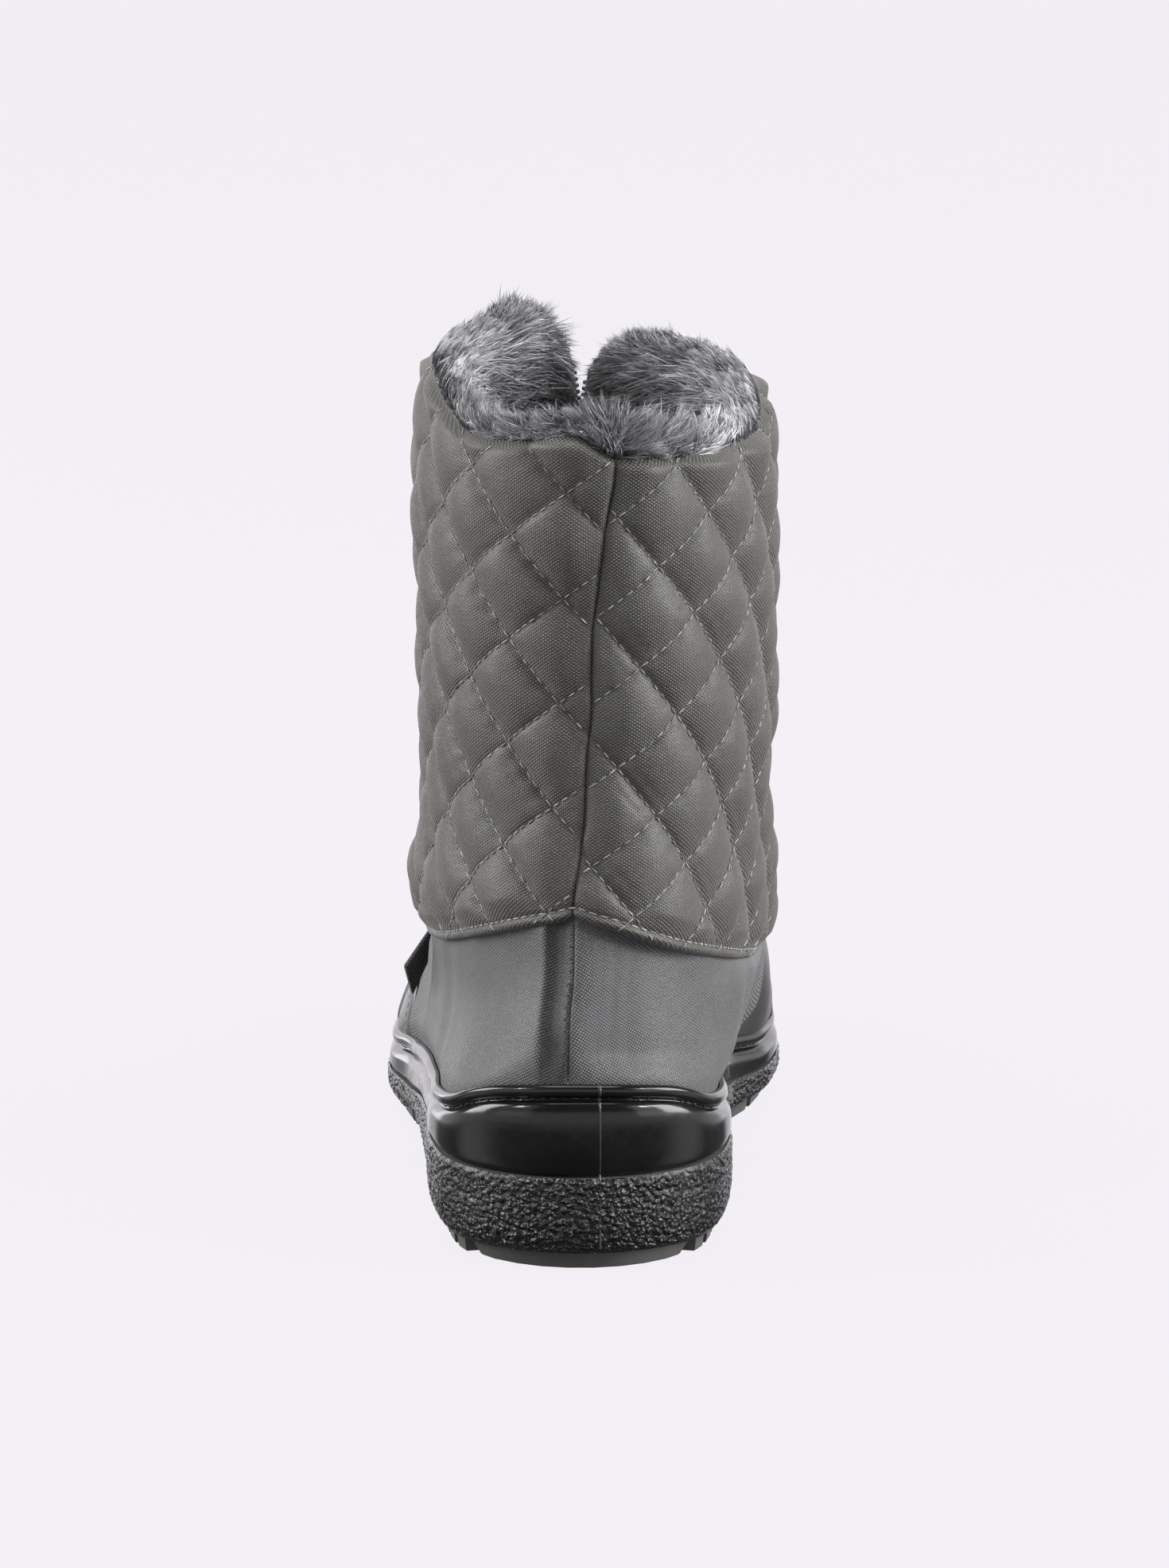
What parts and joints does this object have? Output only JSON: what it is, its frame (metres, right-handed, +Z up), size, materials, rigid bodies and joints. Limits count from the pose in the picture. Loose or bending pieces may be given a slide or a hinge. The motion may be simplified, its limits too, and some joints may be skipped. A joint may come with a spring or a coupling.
{
  "type": "ankle boot",
  "caption": "Left winter ankle boot: hollow textile upper under a diamond-quilted shaft, fur-lined notched collar, front zip, lugged rubber cup sole.",
  "frame": {"origin": "on the floor, under the middle of the sole's bounding box", "axes": "+Y from heel to toe, +X towards the medial side of this left boot, +Z up"},
  "size_m": [0.1016, 0.2746, 0.2182],
  "materials": {
    "pebbled_rubber": "black moulded rubber with a pebbled grain",
    "smooth_rubber": "smooth black rubber with a soft gloss",
    "felt": "dark grey felt",
    "canvas": "cool grey plain woven canvas",
    "smooth_leather": "smooth black coated leather",
    "quilted_canvas": "warm grey woven canvas, quilted in diamonds with pale thread",
    "fur": "grey pile with darker roots and pale tips",
    "zip_tape": "black woven tape with moulded teeth",
    "dark_metal": "dark grey plated metal",
    "ribbon": "black woven ribbon, plain"
  },
  "bodies": {
    "boot": {"outsole": "pebbled_rubber", "midsole": "smooth_rubber", "insole": "felt", "upper": "canvas", "toe_guard": "smooth_leather", "shaft_quilt": "quilted_canvas", "fur_collar": "fur", "zip_tape_lateral": "zip_tape", "zip_tape_medial": "zip_tape", "zip_slider": "dark_metal", "side_label": "ribbon"},
    "pull": {"zip_pull": "dark_metal"}
  },
  "joints": [
    {"name": "pull_hinge", "type": "hinge", "parent": "boot", "child": "pull", "pos_m": [-0.0009, 0.01016, 0.18263], "axis": [1, 0, 0], "range_deg": [0, 150]}
  ]
}
